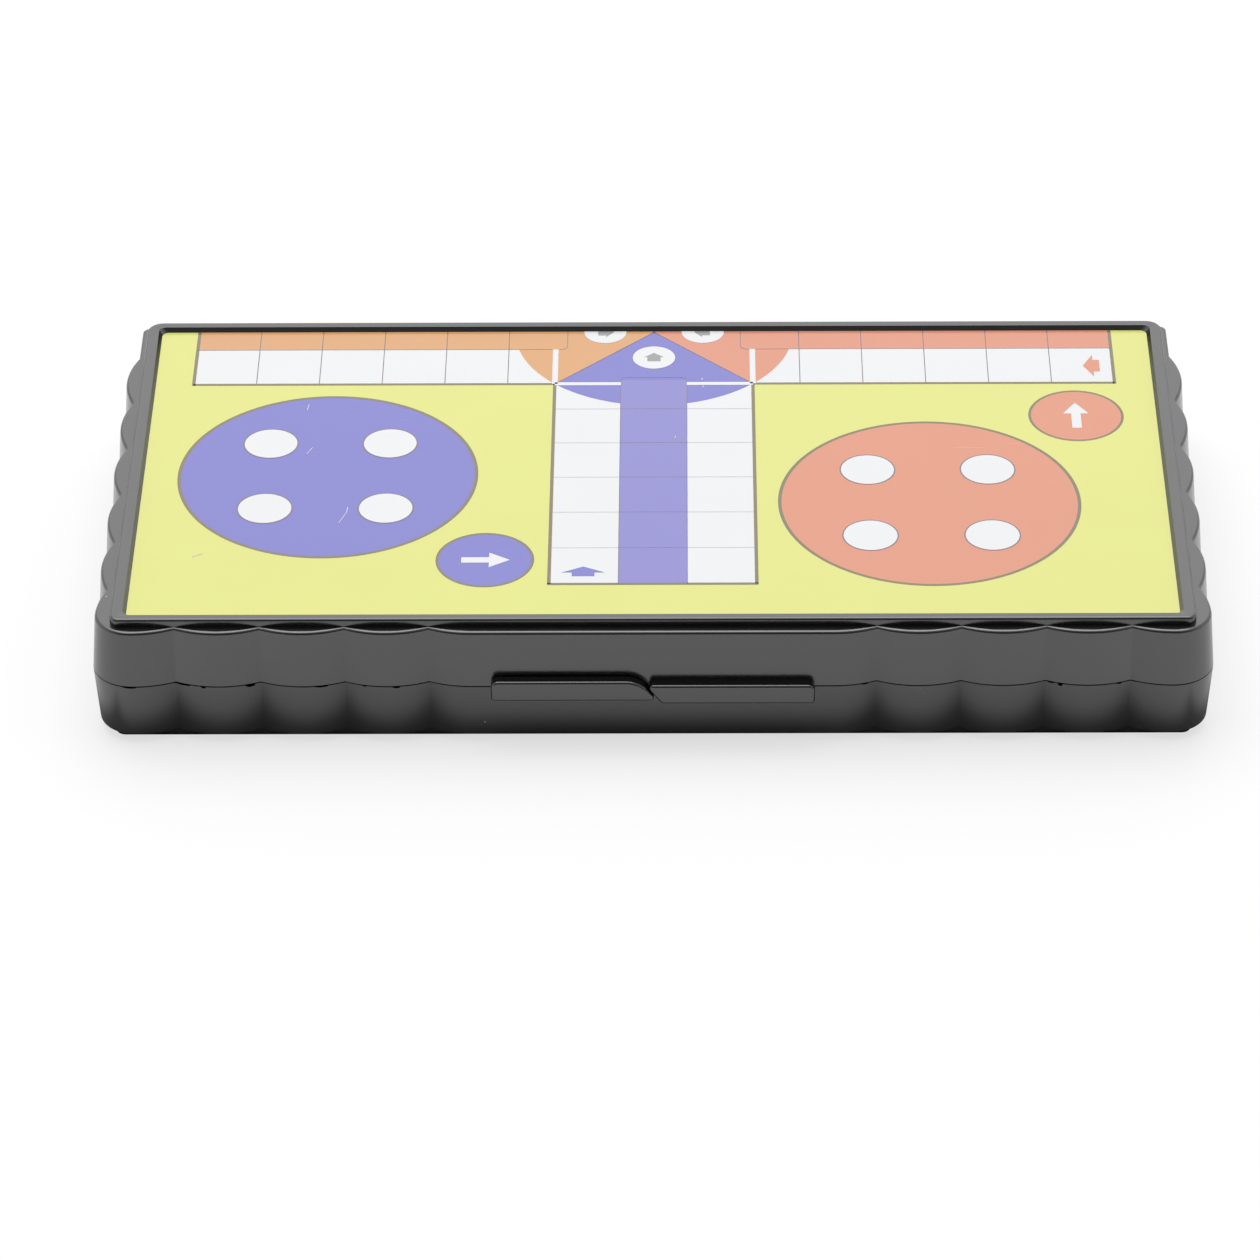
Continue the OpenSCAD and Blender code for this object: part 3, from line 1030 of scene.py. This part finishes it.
class Print:
    def __init__(self):
        self.bm = bmesh.new()
        self.limit = filmBack - boardY

    def shape(self, points, ink, level, turn=0):
        for _ in range(turn):
            points = [(-y, x) for x, y in points]
        points = clipFar(points, self.limit)
        if len(points) < 3:
            return
        z = filmTop + board["layer"] * level
        moved = [(x, y + boardY) for x, y in points]
        prism(self.bm, moved, filmTop - 0.02, z, inkOrder.index(ink))

    def disc(self, centre, radius, ink, level, turn=0, count=72):
        self.shape(arcPoints(*centre, radius, 0, 360 - 360 / count, count - 1), ink, level, turn)

    def hoop(self, centre, radius, width, ink, level, turn=0, count=72):
        inner = arcPoints(*centre, radius - width / 2, 0, 360, count)
        outer = arcPoints(*centre, radius + width / 2, 0, 360, count)
        for i in range(count):
            self.shape([inner[i], outer[i], outer[i + 1], inner[i + 1]], ink, level, turn)

    def line(self, start, end, width, ink, level, turn=0):
        along = Vector((end[0] - start[0], end[1] - start[1])).normalized()
        side = Vector((-along.y, along.x)) * width / 2
        self.shape([(start[0] - side.x, start[1] - side.y), (end[0] - side.x, end[1] - side.y),
                    (end[0] + side.x, end[1] + side.y), (start[0] + side.x, start[1] + side.y)],
                   ink, level, turn)


def rect(x0, x1, y0, y1):
    return [(x0, y0), (x1, y0), (x1, y1), (x0, y1)]


def drawArm(sheet, turn, ink):
    w, far, column = board["armHalf"], board["armLength"], board["armHalf"] / 3
    wide, fine = board["outlineWidth"], board["fineLine"]
    sheet.shape(rect(-w, w, -far, -w), "white", 1, turn)
    reach = w * math.sqrt(2)
    sheet.shape(arcPoints(0, 0, reach, 225, 315, 24), ink, 2, turn)
    sheet.shape([(-w, -w), (w, -w), (0, 0)], ink, 2, turn)
    sheet.shape(rect(-column, column, -far, -w + 1), "paleBlue" if ink == "blue" else ink, 3, turn)
    outlineColumn(sheet, column, far, turn)
    sheet.line((-w, -w), (0, 0), fine, "plum", 5, turn)
    for side in (-1, 1):
        sheet.shape(rect(*sorted((side * w, side * column)), -w - board["barThick"] / 2,
                         -w + board["barThick"] / 2), "white", 6, turn)
        sheet.line((side * w, -far), (side * w, -w), wide, "olive", 5, turn)
    sheet.line((-w - wide / 2, -far), (w + wide / 2, -far), wide, "olive", 5, turn)
    sheet.disc((0, -board["homeCentre"]), board["homeRadius"], "white", 7, turn, 48)
    drawHomeMark(sheet, turn)


# The thin line round a home column, with its two round corners
def outlineColumn(sheet, column, far, turn):
    r, end, thin = 0.9, board["columnEnd"], board["hairLine"]
    path = [(-column, -far)] + arcPoints(-column + r, -end - r, r, 180, 90, 5)
    path += arcPoints(column - r, -end - r, r, 90, 0, 5) + [(column, -far)]
    for start, stop in zip(path, path[1:]):
        sheet.line(start, stop, thin, "plum", 5, turn)


def shifted(points, centre):
    return [(centre[0] + x, centre[1] + y) for x, y in points]


# A plain little house where a home field is marked
house = [[(-1.5, 0.1), (1.5, 0.1), (0, 1.35)], [(-1.0, -1.1), (1.0, -1.1), (1.0, 0.1), (-1.0, 0.1)]]


def drawHomeMark(sheet, turn):
    for part in house:
        sheet.shape(shifted(part, (0, -board["homeCentre"])), "grey", 8, turn)


def drawArrow(sheet, turn, ink):
    x, half, shaft = board["arrowX"], board["arrowHalf"], board["arrowShaft"]
    wing, foot = board["arrowWing"], board["arrowFoot"]
    sheet.shape([(x - half, wing), (x - shaft, wing), (x - shaft, foot), (x + shaft, foot),
                 (x + shaft, wing), (x + half, wing), (x, board["arrowTip"])], ink, 5, turn)


# A plain arrow where a starting field is marked
startArrow = [(-3.4, -0.7), (0.6, -0.7), (0.6, -1.9), (3.6, 0), (0.6, 1.9), (0.6, 0.7), (-3.4, 0.7)]


def drawBase(sheet, turn, ink):
    cx, cy = board["baseCentre"]
    sheet.disc((cx, cy), board["baseRadius"], ink, 1, turn, 120)
    sheet.hoop((cx, cy), board["baseRadius"], board["outlineWidth"], "olive", 2, turn, 120)
    for dx in (-1, 1):
        for dy in (-1, 1):
            spot = (cx + dx * board["spotOffset"], cy + dy * board["spotOffset"])
            sheet.disc(spot, board["spotRadius"], "white", 3, turn, 48)
            sheet.hoop(spot, board["spotRadius"], board["spotLine"], "plum", 4, turn, 48)
    sheet.disc(board["startCentre"], board["startRadius"], ink, 1, turn)
    sheet.hoop(board["startCentre"], board["startRadius"], board["startLine"], "olive", 2, turn)
    sheet.shape(shifted(startArrow, board["startCentre"]), "white", 3, turn)


# Cell lines of the three arms that a board half shows, each arm as one row of bars
lineRow = lineRowTree()


def makeCellLines(name, body, upper):
    far, cell, w, fine = (board[k] for k in ("armLength", "cell", "armHalf", "fineLine"))
    limit = filmBack - boardY
    z = filmTop + board["layer"] * 4.5
    first = -far + cell
    rows = [((0, first), (0, cell), (2 * w / 3, board["hairLine"]), "plum")]
    for side in (-1, 1):
        rows.append(((side * w * 2 / 3, first), (0, cell), (2 * w / 3, fine), "paleGrey"))
        rows.append(((side * first, (limit - w) / 2), (side * cell, 0), (fine, w + limit), "plum"))
    bm = bmesh.new()
    for (x, y), step, size, ink in rows:
        start = (x * mm, (y + boardY) * mm, (z - 0.01) * mm)
        step = (step[0] * mm, step[1] * mm, 0)
        size = (size[0] * mm, size[1] * mm, 0.02 * mm)
        row = grown("row", lineRow, Count=board["cells"] - 1, Start=start, Step=step, Size=size,
                    Material=inks[ink])
        for face in row.data.polygons:
            face.material_index = 0 if ink == "paleGrey" else 1
        bm.from_mesh(row.data)
        bpy.data.objects.remove(row)
    piece = fromBmesh(bm, name, [inks["paleGrey"], inks["plum"]])
    if not upper:
        turnUnder(piece)
    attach(piece, body)


def turnUnder(piece):
    middle = Vector((0, 0, seamZ * mm))
    piece.data.transform(Matrix.Translation(middle) @ Matrix.Rotation(math.pi, 4, "Y")
                         @ Matrix.Translation(-middle))


# Where the board in use has light scratches
scratches = [((-51.7, -22.2), (-51.5, -20.6)), ((-51.2, -34.4), (-50.4, -32.6)),
             ((-45.6, -53.0), (-44.6, -50.2)), ((-44.6, -50.2), (-44.5, -48.8)),
             ((3.1, -30.2), (3.3, -29.6)), ((7.2, -13.9), (7.3, -13.3)),
             ((7.35, -16.0), (7.45, -15.6)), ((-66.4, -61.9), (-64.9, -61.0))]


def makePrint(name, armColours, body, upper):
    sheet = Print()
    for turn, ink in enumerate(armColours):
        drawArm(sheet, turn, ink)
        drawArrow(sheet, turn, ink)
        drawBase(sheet, turn, ink)
    for start, stop in scratches if upper else ():
        sheet.line(start, stop, board["hairLine"], "white", 9)
    piece = fromBmesh(sheet.bm, name, [inks[ink] for ink in inkOrder])
    if not upper:
        turnUnder(piece)
    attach(piece, body)


makePrint("upperInks", ("blue", "red", "green", "orange"), "upper_half", True)
makePrint("lowerInks", ("green", "orange", "blue", "red"), "lower_half", False)
makeCellLines("upperCellLines", "upper_half", True)
makeCellLines("lowerCellLines", "lower_half", False)
print("board print made")


# Tokens: a lathed pawn with rounded edges, hollowed under its base for the magnet
pawn = {
    "height": 10.0,
    "baseRadius": 3.6,
    "baseHigh": 2.0,
    "headRadius": 2.2,
    "neckRadius": 1.3,
    "magnetRadius": 2.6,
    "magnetDeep": 1.1,
    "footRound": 0.35,
    "baseRound": 0.6,
    "sides": 48,
}


def pawnProfile():
    head, base = pawn["headRadius"], pawn["baseRadius"]
    headZ = pawn["height"] - head
    seat, deep, foot, top = (pawn[k] for k in ("magnetRadius", "magnetDeep", "footRound", "baseRound"))
    points = [(0, deep), (seat, deep), (seat, 0.0)]
    points += [(base - foot + foot * math.sin(a), foot - foot * math.cos(a)) for a in quarter(4)]
    points += [(base - top + top * math.cos(a), pawn["baseHigh"] - top + top * math.sin(a))
               for a in quarter(4)]
    collarR, collarZ = pawn["neckRadius"], headZ - head * 0.72
    waistZ = pawn["baseHigh"]
    for i in range(1, 9):
        t = i / 8
        r = collarR + (base - 0.9 - collarR) * (1 - t) ** 2.2
        points.append((r, waistZ + (collarZ - waistZ) * t))
    points += [(collarR + out, collarZ + up) for out, up in ((0.45, 0.12), (0.5, 0.35), (0.25, 0.55))]
    for i in range(13):
        a = math.radians(-48 + (90 + 48) * i / 12)
        points.append((max(head * math.cos(a), 0.0), headZ + head * math.sin(a)))
    return points


def lathe(bm, profile, sides):
    rings = []
    for r, z in profile:
        if r < 1e-4:
            rings.append([bm.verts.new((0, 0, z * mm))])
        else:
            rings.append([bm.verts.new((r * math.cos(2 * math.pi * i / sides) * mm,
                                        r * math.sin(2 * math.pi * i / sides) * mm, z * mm))
                          for i in range(sides)])
    for lower, upper in zip(rings, rings[1:]):
        for i in range(sides):
            j = (i + 1) % sides
            if len(lower) == 1:
                bm.faces.new((lower[0], upper[j], upper[i]))
            elif len(upper) == 1:
                bm.faces.new((lower[i], lower[j], upper[0]))
            else:
                bm.faces.new((lower[i], lower[j], upper[j], upper[i]))


tokenColours = {
    "blue": (0.035, 0.05, 0.36),
    "red": (0.48, 0.03, 0.02),
    "orange": (0.75, 0.25, 0.02),
    "green": (0.02, 0.26, 0.06),
}


def makeToken(colour, number, material):
    node = f"token_{colour}_{number}"
    low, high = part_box(node)
    bm = bmesh.new()
    lathe(bm, pawnProfile(), pawn["sides"])
    foot = Vector(((low[0] + high[0]) / 2, (low[1] + high[1]) / 2, low[2]))
    bmesh.ops.translate(bm, verts=bm.verts, vec=foot)
    piece = fromBmesh(bm, f"pawn_{colour}_{number}", [material], smoothAngle=50)
    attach(piece, f"piece_{colour}_{number}")
    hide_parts(node)


for colour, tint in tokenColours.items():
    material = finish("token_" + colour, tint, 0.16, drift=0.06, scratch=0.4,
                      scratchColour=tuple(min(1.0, c * 1.6 + 0.05) for c in tint))
    for number in range(1, 5):
        makeToken(colour, number, material)
print("tokens made")


# The die, with a dimple for each pip
dieLook = {"edge": 8.0, "round": 1.1, "pipRadius": 0.75, "pipDeep": 0.3, "pitch": 2.1, "turn": 20}
dieIvory = finish("dieIvory", (0.8, 0.78, 0.68), 0.18, drift=0.05, scratch=0.4,
                  scratchColour=(0.6, 0.58, 0.5))
pipPaint = finish("pipPaint", (0.012, 0.012, 0.014), 0.25, drift=0.1, scratch=0.2)
pipSpots = [(0, 0), (1, 1), (-1, -1), (1, -1), (-1, 1), (1, 0), (-1, 0)]
pipFaces = [([0], (0, 0, 0)), ([1, 2], (0, 90, 0)), ([0, 1, 2], (90, 0, 0)), ([1, 2, 3, 4], (-90, 0, 0)),
            ([0, 1, 2, 3, 4], (0, -90, 0)), ([1, 2, 3, 4, 5, 6], (180, 0, 0))]


def turned(angles):
    x, y, z = (math.radians(a) for a in angles)
    return Matrix.Rotation(z, 4, "Z") @ Matrix.Rotation(y, 4, "Y") @ Matrix.Rotation(x, 4, "X")


def makeDie():
    low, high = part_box("die")
    half = dieLook["edge"] / 2
    bm = bmesh.new()
    bmesh.ops.create_cube(bm, size=dieLook["edge"] * mm)
    body = fromBmesh(bm, "gameDie", [dieIvory, pipPaint])
    bevelled(body, dieLook["round"], 6)
    bm = bmesh.new()
    for spots, angles in pipFaces:
        for spot in spots:
            x, y = (dieLook["pitch"] * c for c in pipSpots[spot])
            z = half - dieLook["pipDeep"] + dieLook["pipRadius"]
            where = turned(angles) @ Matrix.Translation(Vector((x, y, z)) * mm)
            bmesh.ops.create_uvsphere(bm, u_segments=24, v_segments=16, radius=dieLook["pipRadius"] * mm,
                                      matrix=where)
    balls = fromBmesh(bm, "pipBalls", [dieIvory, pipPaint])
    for face in balls.data.polygons:
        face.material_index = 1
    cutWith(body, balls)
    middle = Vector(((low[0] + high[0]) / 2, (low[1] + high[1]) / 2, low[2] + half * mm))
    turn = Matrix.Rotation(math.radians(dieLook["turn"]), 4, "Z")
    body.data.transform(Matrix.Translation(middle) @ turn)
    weighted(body, 40)
    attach(body, "die_body")
    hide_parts("die")


makeDie()
print("die made")


# Finishes of the CAD nodes that stay
keptFinishes = {"_print": inks["yellow"], "_sheet": steel, "hinge_pin": pinSteel, "magnet_": nickel}
for name, node in nodes.items():
    for part, material in keptFinishes.items():
        if part in name:
            for holder in node.material_slots:
                holder.link = "OBJECT"
                holder.material = material
print("CAD nodes repainted")
